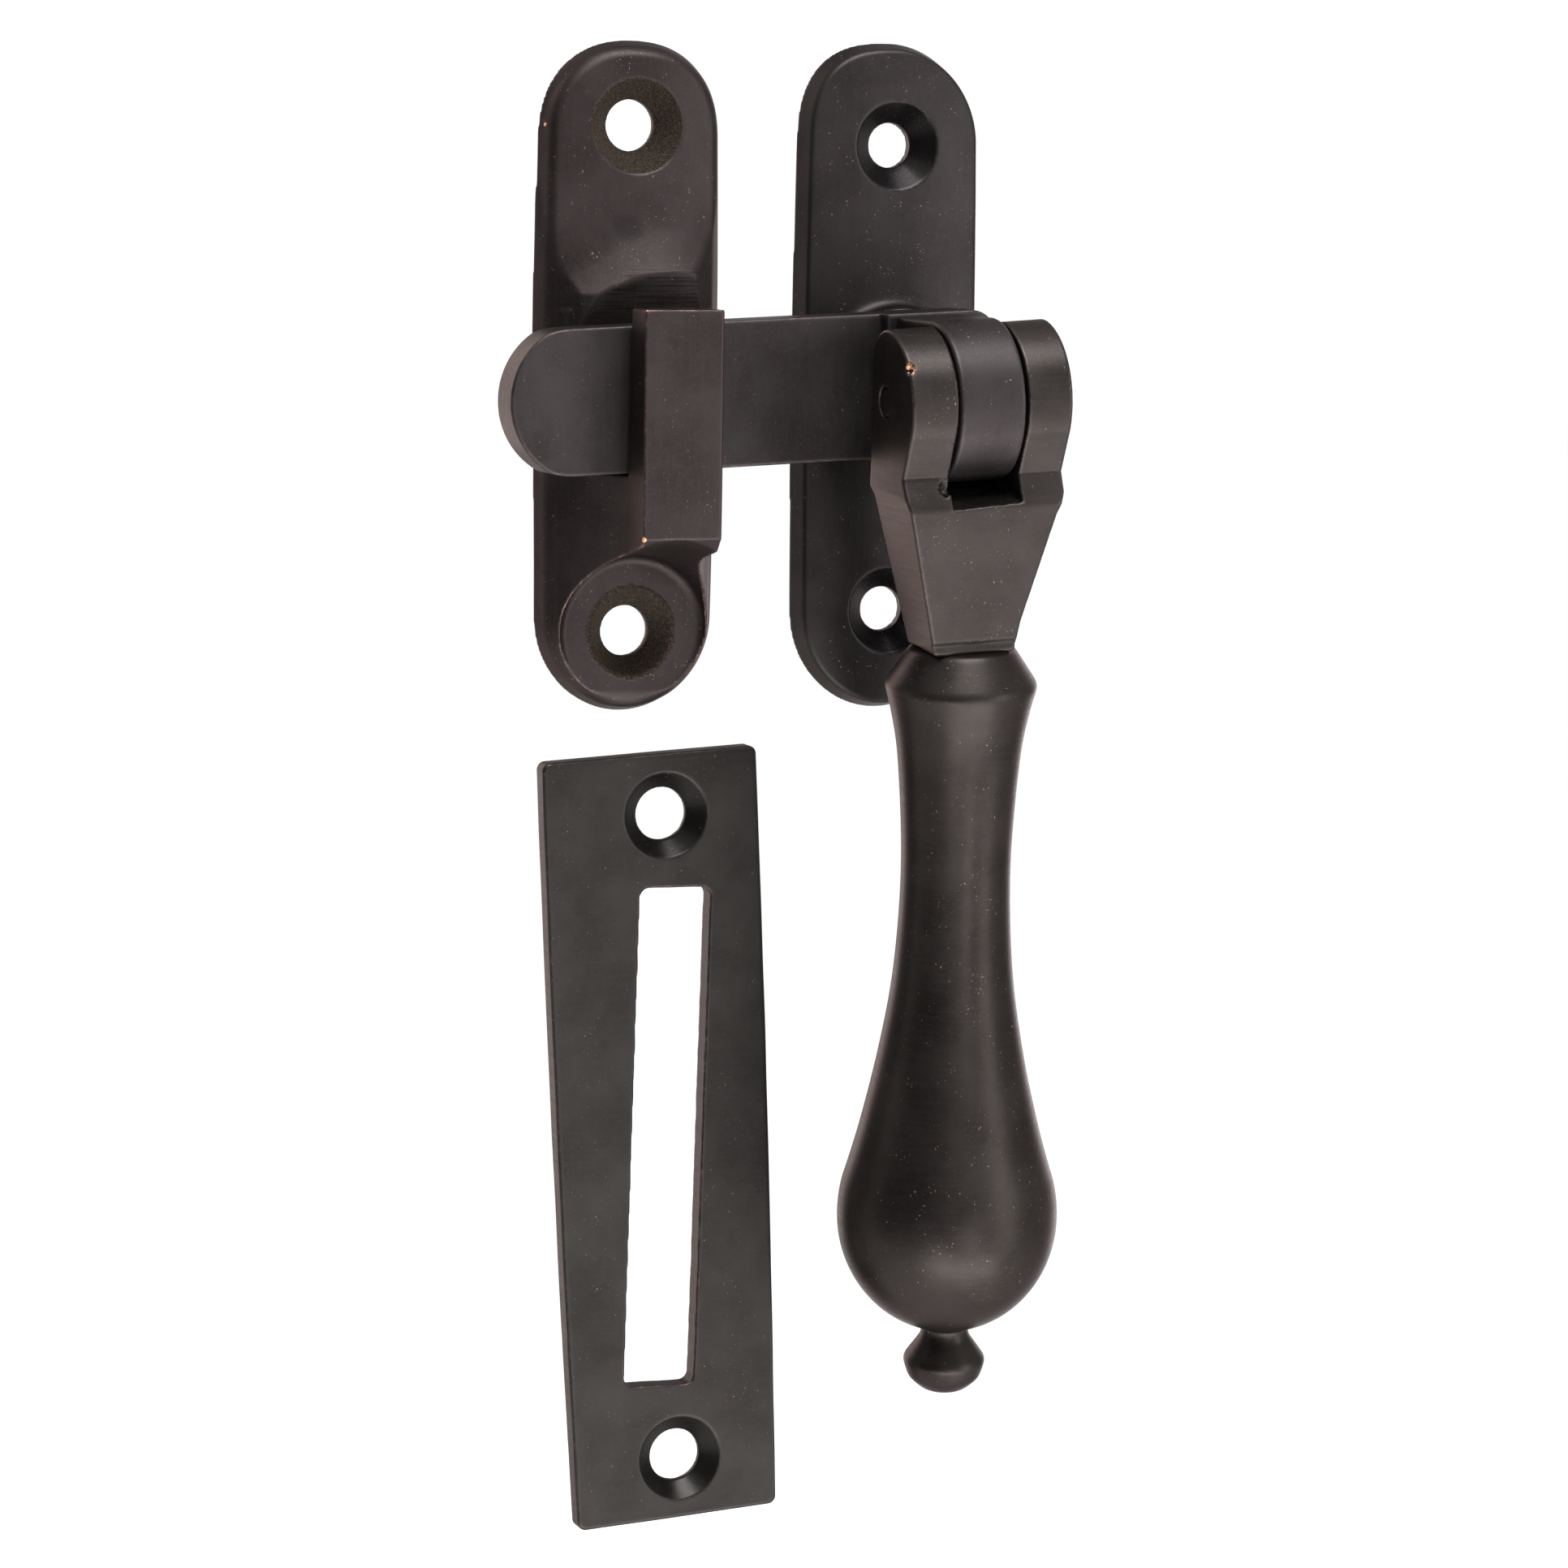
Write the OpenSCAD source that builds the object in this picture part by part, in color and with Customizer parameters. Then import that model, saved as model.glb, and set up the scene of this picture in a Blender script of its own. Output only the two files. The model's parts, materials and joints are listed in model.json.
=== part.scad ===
// Surface casement latch: a pivoting latch bar with a hinged drop handle,
// a hook keeper that the bar drops into, and a flush mortice strike plate
// that can be used in place of the keeper.
//
// Frame: X to the right, Z up, the wall is the plane y = 0 and every
// surface-mounted piece stands off it towards -Y. The origin is on the
// pivot axis of the latch bar, at the back face of the sash plate.

/* [Sash plate] */
// Length of the sash plate
sash_l = 66; // [60:0.5:80]
// Width of the sash plate
sash_w = 19.4; // [19:0.1:24]
// Thickness of the sash plate at its rim
sash_edge = 2.4; // [1.8:0.1:2.8]
// Distance from the pivot to each sash screw hole
sash_hole_z = 23; // [21:0.5:24]
// Diameter of the sash screw holes
sash_hole_d = 4.4; // [3.5:0.1:5]
// Diameter of the round boss behind the latch bar
boss_d = 15.4; // [13:0.1:17]

/* [Keeper] */
// Sideways distance from the pivot to the middle of the keeper
keeper_x = 27.2; // [26:0.1:29]
// Length of the keeper
keeper_l = 65.2; // [60:0.1:75]
// Width of the keeper
keeper_w = 18.7; // [18:0.1:20]
// Distance from the middle of the keeper to each screw hole
keeper_hole_z = 24.6; // [24:0.1:26]
// Diameter of the keeper screw holes
keeper_hole_d = 5; // [3.5:0.1:5.2]
// Width of the hook
hook_w = 8; // [6:0.1:10]
// How far the hook stands off the wall
hook_reach = 16; // [15.2:0.1:18]
// Height of the top of the hook above the pivot
hook_top = 7.4; // [4:0.1:9]

/* [Latch bar] */
// Height of the latch bar
bar_h = 14.1; // [12:0.1:14.2]
// Thickness of the latch bar
bar_t = 4.4; // [3.5:0.1:4.5]
// Distance from the pivot to the tip of the nose
bar_nose = 42.4; // [40:0.1:46]
// Angle that the bar droops below level when it rests in the keeper
bar_droop = 2.6; // [2:0.1:3.2]

/* [Hinge] */
// Distance of the hinge pin from the wall
pin_y = 20.8; // [20.7:0.1:24]
// Drop of the hinge pin below the pivot
pin_drop = 0.8; // [0:0.1:1]
// Diameter of the hinge pin
pin_d = 3; // [2:0.1:3.5]
// Width of the knuckle between the ears
knuckle_w = 6.6; // [5:0.1:7]
// Radius of the knuckle
knuckle_r = 7.4; // [5:0.1:7.6]

/* [Handle] */
// Width of the fork across both ears
fork_w = 16.4; // [15:0.1:18]
// Front radius of the ears
ear_r = 7.2; // [6:0.1:7.4]
// Length from the hinge pin to the end of the finial
handle_l = 101.5; // [95:0.5:110]
// Largest diameter of the grip
grip_d = 22; // [18:0.1:22.4]
// Angle that the hanging handle leans towards the wall
handle_lean = 6; // [2:0.1:6.2]

/* [Strike plate] */
// Length of the strike plate
strike_l = 78.2; // [76:0.1:80]
// Width of the strike plate at the middle of its length
strike_w = 22.4; // [20:0.1:24]
// How much wider the strike plate is at its top edge than at its middle
strike_taper = 0.6; // [0:0.1:1]
// Thickness of the strike plate
strike_t = 2.3; // [1.8:0.1:3]
// Distance between the strike screw holes
strike_hole_gap = 65.8; // [64:0.1:68]
// Diameter of the strike screw holes
strike_hole_d = 5.3; // [3.5:0.1:5.5]
// Length of the slot
slot_l = 50.8; // [40:0.1:52]
// Width of the slot
slot_w = 7.5; // [6:0.1:8]
// Slant of the slot against the long sides of the plate
slot_slant = 4.2; // [0:0.1:4.5]

/* [Hidden] */
$fn = 64;

// How far a cutting shape runs past the face that it cuts
over = 1;
bronze = [0.20, 0.18, 0.17];
hook_bronze = [0.22, 0.18, 0.18];

// Depths of the pivot stack, measured from the wall
plate_crown = 0.9;
plate_draft = 0.65;
boss_y = 6;
washer_gap = 0.03;
bar_back = 6.6;
bar_front = bar_back + bar_t;
pad_rise = 1.6;
pad_front = bar_front + pad_rise;
pad_left = -4.3;
hub_r = 7.2;
nose_r = 7.7;

// Countersinks
plate_csk_depth = 2.2;
strike_csk_depth = 1.6;
sash_csk_d = 8.8;
keeper_csk_d = 9.2;
strike_csk_d = 8.7;

// Stud, from the riveted tail at the back to the knuckle at the front
journal_d = 5;
journal_fit = 0.05;
neck_side = 5;
tail_d = 3.6;
tail_head_d = 6;
tail_head_t = 0.7;
recess_d = 9.6;
recess_y = 1.7;
back_washer_d = 9;
back_washer_t = 0.8;
spring_washer_d = 12.4;
pin_fit = 0.04;

// Fork, measured forwards (q) and down (s) from the hinge pin
ear_back = 3.5;
ear_round = 4;
ear_gap = 0.2;
notch_q = 4.95;
notch_s = 7.1;
facet_q = 6.4;
facet_s = 9.6;
slot_s = 9.2;
neck_q = 3.9;
neck_back = 2.8;
neck_s = 24.3;
neck_w = 8.4;
shoulder_s = 8.6;
tenon_d = 4.6;
tenon_l = 14;

// Grip, as fractions of the handle length and of the grip radius
collar_top = 0.2395;
collar_profile = [[collar_top, 0.42], [collar_top, 0.47], [0.2765, 0.682], [0.299, 0.625]];
baluster = [[0.299, 0.625], [0.35, 0.545], [0.456, 0.49], [0.56, 0.535], [0.645, 0.655],
            [0.72, 0.81], [0.775, 0.952]];
bulb_s = 0.813;
bulb_up = 0.128;
bulb_down = 0.1195;
finial_neck_r = 0.215;
finial_profile = [[0.937, 0.215], [0.9625, 0.381], [0.9805, 0.33], [0.992, 0.215], [1, 0]];

// Keeper, measured from its own middle
hook_shift = 0.5;
hook_bottom = -14.4;
hook_gap_top = 12;
hook_gap_low = 11.4;
rest_gap = 0.08;
rest_x = keeper_x + hook_w / 2 + 1.3;
slot_floor = -bar_h / 2 * cos(bar_droop) - rest_x * sin(bar_droop) - rest_gap;
slot_back = 4.4;
crest_y = 6;
crest_z = 10.6;
ramp_z = 21;
ledge_z = 6.8;
scoop_r = 6.4;
scoop_flare = 5.2;
scoop_face = 2.9;

// Place and turn of the strike plate
strike_x = -21.6;
strike_z = -76.2;
strike_turn = 2.95;
strike_hole_shift = 0.6;
strike_hole_lean = 0.9;
slot_shift = 0.3;
slot_raise = 0.2;
slot_corner = 1;

// Turns an outline drawn in X and Z into a slab from depth y0 to depth y1
module slab(y0, y1) {
    translate([0, -y0, 0])
        rotate([90, 0, 0])
            linear_extrude(height = y1 - y0)
                children();
}

// Extrudes an outline drawn as [depth, z] across x = -w/2 .. w/2
module across(w) {
    translate([w / 2, 0, 0])
        rotate([0, 0, 180])
            rotate([90, 0, 90])
                linear_extrude(height = w)
                    children();
}

// Cylinder along Y from depth y0 to depth y1, with end radii r0 and r1
module stub(y0, y1, r0, r1) {
    translate([0, -y0, 0])
        rotate([90, 0, 0])
            cylinder(h = y1 - y0, r1 = r0, r2 = r1);
}

// Round-ended plate with drafted sides and a face crowned across its width
module crowned_plate(l, w, edge) {
    r = w / 2;
    deep = edge + plate_crown;
    slope = plate_draft / edge;
    r_top = r - slope * deep;
    crown_r = (r * r + plate_crown * plate_crown) / (2 * plate_crown);
    intersection() {
        union() {
            for (side = [-1, 1])
                translate([0, 0, side * (l / 2 - r)])
                    stub(0, deep, r, r_top);
            translate([0, 0, r - l / 2])
                linear_extrude(height = l - w)
                    polygon([[-r, 0], [r, 0], [r_top, -deep], [-r_top, -deep]]);
        }
        translate([0, crown_r - deep, -l])
            cylinder(h = 2 * l, r = crown_r, $fn = 180);
    }
}

// Screw hole with a countersink whose rim lies at depth face
module screw_cut(hole_d, csk_d, csk_depth, face) {
    cone_slope = (csk_d - hole_d) / 2 / csk_depth;
    stub(-over, face + over, hole_d / 2, hole_d / 2);
    stub(face - csk_depth, face + over, hole_d / 2, csk_d / 2 + cone_slope * over);
}

// Places latch pieces at the angle at which the bar rests
module at_pivot() {
    rotate([0, -bar_droop, 0])
        children();
}

// Places handle pieces on the hinge pin, hanging with their lean
module at_pin() {
    at_pivot()
        translate([0, -pin_y, -pin_drop])
            rotate([handle_lean, 0, 0])
                children();
}

module sash_plate() {
    face = sash_edge + plate_crown;
    color(bronze)
        difference() {
            union() {
                crowned_plate(sash_l, sash_w, sash_edge);
                stub(sash_edge, boss_y, boss_d / 2, boss_d / 2);
            }
            for (side = [-1, 1])
                translate([0, 0, side * sash_hole_z])
                    screw_cut(sash_hole_d, sash_csk_d, plate_csk_depth, face);
            stub(-over, boss_y + over, journal_d / 2 + journal_fit, journal_d / 2 + journal_fit);
            stub(-over, recess_y, recess_d / 2, recess_d / 2);
        }
}

module back_washer() {
    color(bronze)
        difference() {
            stub(recess_y - washer_gap - back_washer_t, recess_y - washer_gap,
                 back_washer_d / 2, back_washer_d / 2);
            stub(-over, recess_y + over, tail_d / 2, tail_d / 2);
        }
}

module spring_washer() {
    color(bronze)
        difference() {
            stub(boss_y, bar_back - washer_gap, spring_washer_d / 2, spring_washer_d / 2);
            stub(0, bar_front, journal_d / 2 + 4 * journal_fit, journal_d / 2 + 4 * journal_fit);
        }
}

// Outline of the bar: a straight arm, a rounded nose and a round hub end
module bar_outline() {
    intersection() {
        translate([-bar_nose, -bar_h / 2])
            square([bar_nose, bar_h]);
        union() {
            translate([nose_r - bar_nose, 0])
                circle(r = nose_r);
            translate([nose_r - bar_nose, -bar_h])
                square([2 * bar_nose, 2 * bar_h]);
        }
    }
    circle(r = hub_r);
}

module latch_bar() {
    color(bronze)
        at_pivot()
            difference() {
                union() {
                    slab(bar_back, bar_front)
                        bar_outline();
                    slab(bar_front - over, pad_front)
                        intersection() {
                            circle(r = hub_r);
                            translate([pad_left, -hub_r])
                                square([2 * hub_r, 2 * hub_r]);
                        }
                }
                translate([-neck_side / 2, -pad_front - over, -neck_side / 2])
                    cube([neck_side, bar_t + pad_rise + 2 * over, neck_side]);
            }
}

module hinge_stud() {
    tail_end = recess_y - washer_gap - back_washer_t;
    color(bronze)
        at_pivot()
            difference() {
                union() {
                    stub(recess_y - washer_gap, bar_back, journal_d / 2, journal_d / 2);
                    stub(tail_end - tail_head_t, recess_y, tail_d / 2, tail_d / 2);
                    stub(tail_end - tail_head_t, tail_end, tail_head_d / 2 - tail_head_t, tail_head_d / 2);
                    translate([-neck_side / 2, -pad_front, -neck_side / 2])
                        cube([neck_side, bar_t + pad_rise, neck_side]);
                    translate([-knuckle_w / 2, -pin_y, -pin_drop - knuckle_r])
                        cube([knuckle_w, pin_y - pad_front, 2 * knuckle_r]);
                    translate([-knuckle_w / 2, -pin_y, -pin_drop])
                        rotate([0, 90, 0])
                            cylinder(h = knuckle_w, r = knuckle_r);
                }
                translate([-knuckle_w, -pin_y, -pin_drop])
                    rotate([0, 90, 0])
                        cylinder(h = 2 * knuckle_w, d = pin_d + 2 * pin_fit);
            }
}

module hinge_pin() {
    color(bronze)
        at_pin()
            translate([-fork_w / 2, 0, 0])
                rotate([0, 90, 0])
                    cylinder(h = fork_w, d = pin_d);
}

// Points of an arc about [x, y], from angle a0 to angle a1
function arc(x, y, r, a0, a1, steps) =
    [for (k = [0 : steps])
        let (a = a0 + (a1 - a0) * k / steps)
        [x + r * cos(a), y + r * sin(a)]];

// Side of the fork: round ears with a flat back, then the notch, the facet and the shank
module fork_side() {
    back_x = ear_round - ear_back;
    back_z = sqrt(pow(ear_r - ear_round, 2) - back_x * back_x);
    crown = atan2(back_z, back_x);
    chin = -20;
    ears = concat(arc(back_x, back_z, ear_round, 180, crown, 8), arc(0, 0, ear_r, crown - 5, chin, 20));
    shank = [[notch_q, -notch_s], [facet_q, -facet_s], [neck_q, -neck_s], [-neck_back, -neck_s],
             [-neck_back, -shoulder_s - over], [-ear_back, -shoulder_s]];
    polygon(concat(ears, shank));
}

// Front of the fork: straight past the ears, then tapering to the neck
module fork_front() {
    w = fork_w / 2;
    polygon([[-w, ear_r + over], [w, ear_r + over], [w, -shoulder_s], [neck_w / 2, -neck_s],
             [-neck_w / 2, -neck_s], [-w, -shoulder_s]]);
}

module handle_fork() {
    gap_w = knuckle_w + 2 * ear_gap;
    color(bronze)
        at_pin()
            difference() {
                union() {
                    intersection() {
                        across(fork_w)
                            fork_side();
                        slab(-2 * ear_r, 2 * ear_r)
                            fork_front();
                    }
                    translate([0, 0, -neck_s - tenon_l])
                        cylinder(h = tenon_l + over, d = tenon_d);
                }
                translate([-gap_w / 2, -2 * ear_r, -slot_s])
                    cube([gap_w, 4 * ear_r, slot_s + 2 * ear_r]);
                translate([-fork_w, 0, 0])
                    rotate([0, 90, 0])
                        cylinder(h = 2 * fork_w, d = pin_d);
            }
}

// Point of a smooth curve through p1 and p2, at fraction t between them
function spline(p0, p1, p2, p3, t) =
    0.5 * (2 * p1 + (p2 - p0) * t + (2 * p0 - 5 * p1 + 4 * p2 - p3) * t * t
           + (3 * p1 - p0 - 3 * p2 + p3) * t * t * t);

// Smooth curve through a list of points, with a number of steps per span
function smooth(points, steps) =
    let (last = len(points) - 1)
    [for (i = [0 : last - 1], k = [0 : steps - 1])
        spline(points[max(i - 1, 0)], points[i], points[i + 1], points[min(i + 2, last)], k / steps)];

// The bulb: one half-ellipse above its widest ring and a shorter one below
function bulb_r(f) = sqrt(1 - pow((f - bulb_s) / (f < bulb_s ? bulb_up : bulb_down), 2));
function bulb(steps) =
    let (f0 = baluster[len(baluster) - 1][0],
         f1 = bulb_s + bulb_down * sqrt(1 - finial_neck_r * finial_neck_r))
    [for (k = [0 : steps])
        let (a = k / steps, f = f0 + (f1 - f0) * sin(90 * a))
        [f, bulb_r(f)]];

module handle_grip() {
    outline = concat([[collar_top, 0]], collar_profile, smooth(baluster, 4), bulb(16),
                     finial_profile);
    grip_r = grip_d / 2;
    color(bronze)
        at_pin()
            difference() {
                rotate([180, 0, 0])
                    rotate_extrude()
                        polygon([for (p = outline) [p[1] * grip_r, p[0] * handle_l]]);
                translate([0, 0, -neck_s - tenon_l - over])
                    cylinder(h = tenon_l + 2 * over, d = tenon_d);
            }
}

// Depth profile of the keeper through its middle, above and below the hook
module keeper_side() {
    polygon([[0, hook_bottom - 8], [0, ramp_z], [sash_edge, ramp_z], [crest_y, crest_z],
             [slot_back, ledge_z], [slot_back, slot_floor], [hook_gap_low, slot_floor],
             [hook_gap_top, hook_top], [hook_reach, hook_top], [hook_reach, hook_bottom],
             [sash_edge, hook_bottom - 8]]);
}

// Cross-section of the keeper below the slot: it flares from hook to plate
module keeper_flare() {
    steps = 8;
    foot = keeper_w / 2 - 0.7;
    half = hook_w / 2;
    bend = 1.7;
    rise = hook_gap_low - sash_edge;
    left = [for (k = [0 : steps])
        let (t = k / steps)
        [hook_shift - half - (foot - half + hook_shift) * pow(1 - t, bend), -sash_edge - t * rise]];
    right = [for (k = [steps : -1 : 0])
        let (t = k / steps)
        [hook_shift + half + (foot - half - hook_shift) * pow(1 - t, bend), -sash_edge - t * rise]];
    front = [[hook_shift - half, -hook_reach], [hook_shift + half, -hook_reach]];
    polygon(concat([[-foot, 0]], left, front, right, [[foot, 0]]));
}

// The scoop that clears the lower screw: a bell mouth around the hole
module scoop() {
    steps = 8;
    far = hook_reach + over;
    rotate([90, 0, 0])
        rotate_extrude()
            polygon(concat([[0, scoop_face], [scoop_r, scoop_face]],
                [for (k = [1 : steps])
                    let (t = k / steps)
                    [scoop_r + scoop_flare * pow(t, 1.25), scoop_face + (far - scoop_face) * t]],
                [[0, far]]));
}

module keeper() {
    face = sash_edge + plate_crown;
    color(hook_bronze)
        translate([-keeper_x, 0, 0])
            difference() {
                union() {
                    crowned_plate(keeper_l, keeper_w, sash_edge);
                    intersection() {
                        across(2 * keeper_w)
                            keeper_side();
                        translate([0, 0, -keeper_l / 2])
                            linear_extrude(height = keeper_l)
                                keeper_flare();
                    }
                }
                translate([0, 0, -keeper_hole_z])
                    scoop();
                for (side = [-1, 1])
                    translate([0, 0, side * keeper_hole_z])
                        screw_cut(keeper_hole_d, keeper_csk_d, plate_csk_depth, face);
            }
}

// Slanted slot with slightly rounded corners, as four corner posts joined up
module slot_outline() {
    x = slot_w / 2 - slot_corner;
    z = slot_l / 2 - slot_corner;
    for (i = [-1, 1], j = [-1, 1])
        translate([i * x, j * z])
            circle(r = slot_corner);
    square([2 * x, slot_l], center = true);
    square([slot_w, 2 * z], center = true);
}

// Outline of the strike plate, a little wider at the top
module strike_outline() {
    top = (strike_w + strike_taper) / 2;
    bottom = (strike_w - strike_taper) / 2;
    z = strike_l / 2;
    polygon([[-top, z], [top, z], [bottom, -z], [-bottom, -z]]);
}

module strike_plate() {
    color(bronze)
        translate([strike_x, strike_t, strike_z])
            rotate([0, -strike_turn, 0])
                difference() {
                    slab(0, strike_t)
                        strike_outline();
                    slab(-over, strike_t + over)
                        translate([slot_shift, slot_raise])
                            rotate(-slot_slant)
                                slot_outline();
                    translate([strike_hole_shift, 0, 0])
                        rotate([0, strike_hole_lean, 0])
                            for (side = [-1, 1])
                                translate([0, 0, side * strike_hole_gap / 2])
                                    screw_cut(strike_hole_d, strike_csk_d, strike_csk_depth, strike_t);
                }
}

sash_plate();
back_washer();
spring_washer();
latch_bar();
hinge_stud();
hinge_pin();
handle_fork();
handle_grip();
keeper();
strike_plate();
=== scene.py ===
"""Looks for the casement latch: modelled bronze castings, their patina, soft light and the camera."""
import json
import math

import bpy
import numpy as np
from mathutils import Matrix, Vector


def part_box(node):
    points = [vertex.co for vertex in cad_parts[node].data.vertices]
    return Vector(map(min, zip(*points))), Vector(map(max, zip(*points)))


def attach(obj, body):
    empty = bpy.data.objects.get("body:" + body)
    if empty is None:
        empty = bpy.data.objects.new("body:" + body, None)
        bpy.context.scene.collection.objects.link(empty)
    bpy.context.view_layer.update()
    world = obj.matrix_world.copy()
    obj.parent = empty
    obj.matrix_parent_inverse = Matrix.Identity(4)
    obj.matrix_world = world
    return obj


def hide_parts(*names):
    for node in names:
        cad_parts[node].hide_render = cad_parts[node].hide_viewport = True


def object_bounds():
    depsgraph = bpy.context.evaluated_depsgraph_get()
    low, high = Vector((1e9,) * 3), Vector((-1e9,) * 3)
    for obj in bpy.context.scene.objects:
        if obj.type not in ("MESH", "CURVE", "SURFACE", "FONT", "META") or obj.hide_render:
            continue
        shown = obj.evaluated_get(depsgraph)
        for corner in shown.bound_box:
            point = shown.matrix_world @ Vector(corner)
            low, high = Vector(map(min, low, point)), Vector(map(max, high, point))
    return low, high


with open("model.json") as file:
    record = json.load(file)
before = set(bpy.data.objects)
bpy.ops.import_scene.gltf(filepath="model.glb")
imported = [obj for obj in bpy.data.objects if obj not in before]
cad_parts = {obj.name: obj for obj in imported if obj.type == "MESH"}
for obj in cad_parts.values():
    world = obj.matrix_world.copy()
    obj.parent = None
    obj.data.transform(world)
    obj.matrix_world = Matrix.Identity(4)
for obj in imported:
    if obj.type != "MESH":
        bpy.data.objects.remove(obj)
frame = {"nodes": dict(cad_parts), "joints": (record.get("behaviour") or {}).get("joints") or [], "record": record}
cad_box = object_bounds()

# ---------------------------------------------------------------- sizes, in millimetres, from the frame

# Metres in a millimetre, and the grid step of the modelled surfaces
MM = 0.001
STEP = 0.2
JOINTS = {joint["name"]: joint for joint in frame["joints"]}
MOUNTS = {mount["name"]: mount for mount in frame["record"]["mounts"]}


def box_mm(node):
    """Lowest and highest corner of a CAD node, in millimetres."""
    low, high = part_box(node)
    return np.array(low) / MM, np.array(high) / MM


def points_mm(node):
    """The corners of a CAD node's mesh, in millimetres."""
    return np.array([v.co for v in frame["nodes"][node].data.vertices], float) / MM


def mount_mm(name):
    """Where a mount is, in millimetres."""
    return np.array(MOUNTS[name]["pos_m"]) / MM


SASH_LOW, SASH_HIGH = box_mm("sash_plate")
KEEPER_LOW, KEEPER_HIGH = box_mm("keeper")
KEEPER_X = mount_mm("keeper_screws")[0]
SASH_HOLE_Z = MOUNTS["sash_screws"]["dims"]["spacing_y_mm"] / 2
KEEPER_HOLE_Z = MOUNTS["keeper_screws"]["dims"]["spacing_y_mm"] / 2
SASH_HOLE_R = MOUNTS["sash_screws"]["dims"]["hole_r_mm"]
KEEPER_HOLE_R = MOUNTS["keeper_screws"]["dims"]["hole_r_mm"]
STRIKE_HOLE_R = MOUNTS["strike_screw_top"]["dims"]["r_mm"]

# The latch frame droops with the bar, and the handle frame hangs from the hinge pin
FOLD_AXIS = JOINTS["handle_fold"]["axis"]
DROOP = math.atan2(-FOLD_AXIS[2], -FOLD_AXIS[0])
PIN = np.array(JOINTS["handle_fold"]["pos_m"]) / MM
LATCH = Matrix.Rotation(-DROOP, 4, "Y")
GRIP_LINE = points_mm("handle_grip").mean(0) - PIN
GRIP_LOCAL = LATCH.inverted() @ Vector(GRIP_LINE)
LEAN = math.atan2(GRIP_LOCAL.y, -GRIP_LOCAL.z)
HANDLE = Matrix.Translation(Vector(PIN)) @ LATCH @ Matrix.Rotation(LEAN, 4, "X")
HANDLE_AXIS = np.array(HANDLE.to_3x3() @ Vector((0, 0, -1)))
HANDLE_L = ((points_mm("handle_grip") - PIN) @ HANDLE_AXIS).max()
PIN_DEPTH = -PIN[1]
PIN_DROP = -PIN[2] / math.cos(DROOP)

# The strike plate lies behind the wall plane, turned a little
STRIKE_TURN = math.radians(2.95)
STRIKE_LOW, STRIKE_HIGH = box_mm("strike_plate")
STRIKE_MID = Vector(((STRIKE_LOW[0] + STRIKE_HIGH[0]) / 2, 0, (STRIKE_LOW[2] + STRIKE_HIGH[2]) / 2))
STRIKE = Matrix.Translation(STRIKE_MID) @ Matrix.Rotation(-STRIKE_TURN, 4, "Y")
STRIKE_T = STRIKE_HIGH[1] - STRIKE_LOW[1]
WORLD = Matrix.Identity(4)

# Depths from the wall: the plates' rim, how much higher their faces are in the middle, the boss, and
# the bar with its pad
EDGE = 2.4
CROWN = 0.9
BOSS_DEPTH = -SASH_LOW[1]
BAR_LOW, BAR_HIGH = box_mm("latch_bar")
BAR_BACK = round(-BAR_HIGH[1], 2)
BAR_FRONT = 11.0
PAD_FRONT = round(-BAR_LOW[1], 2)

# How castings are finished: draft of a plate's side, how much its ends narrow, how far in its face
# swells, and the rounding of filed edges, of the rims of holes and of the edges on the wall
DRAFT = 0.65
BARREL = 0.05
PILLOW = 8.0
FINE = 0.22
RIM = 0.1
WALL_EDGE = 0.15


# ---------------------------------------------------------------- solid modelling with distance fields


def span(a, b):
    """Length of the vector (a, b)."""
    return np.sqrt(a * a + b * b)


def join(a, b, r):
    """Both shapes, with a fillet of radius r where they meet."""
    return np.maximum(r, np.minimum(a, b)) - span(np.maximum(r - a, 0), np.maximum(r - b, 0))


def common(a, b, r):
    """What both shapes share, with its edges rounded to radius r."""
    return np.minimum(-r, np.maximum(a, b)) + span(np.maximum(r + a, 0), np.maximum(r + b, 0))


def carve(a, b, r):
    """The first shape without the second, with the new edges rounded to radius r."""
    return common(a, -b, r)


def slab(v, low, high):
    """Distance to the space between two parallel planes."""
    return np.maximum(low - v, v - high)


def outline(a, b, corners):
    """Distance to a closed outline in a plane, negative inside it."""
    nearest, inside = None, False
    for (a0, b0), (a1, b1) in zip(corners, corners[1:] + corners[:1]):
        ea, eb = a1 - a0, b1 - b0
        wa, wb = a - a0, b - b0
        t = np.clip((wa * ea + wb * eb) / (ea * ea + eb * eb), 0, 1)
        gap = (wa - ea * t) ** 2 + (wb - eb * t) ** 2
        nearest = gap if nearest is None else np.minimum(nearest, gap)
        run = ea / eb if eb else 0.0
        inside = inside ^ (((b0 <= b) != (b1 <= b)) & (a < a0 + (b - b0) * run))
    return np.where(inside, -1.0, 1.0) * np.sqrt(nearest)


def ripple(x, y, z, size, seed):
    """Smooth irregular waves about size long, between about -1 and 1."""
    total = 0.0
    for k in range(4):
        turn = seed * 2.4 + k * 1.7
        f = 2 * math.pi / (size * (1 + 0.37 * k))
        along = x * math.cos(turn) + z * math.sin(turn)
        across = y * 0.8 + x * math.sin(turn) - z * math.cos(turn)
        total = total + np.sin(f * along + 2.1 * k + seed) * np.cos(f * across + 1.3 * k)
    return total / 4


CORNERS = np.array([(i, j, k) for i in (0, 1) for j in (0, 1) for k in (0, 1)])
CELL_EDGES = [(a, b) for a in range(8) for b in range(a + 1, 8)
              if np.abs(CORNERS[a] - CORNERS[b]).sum() == 1]


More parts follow.
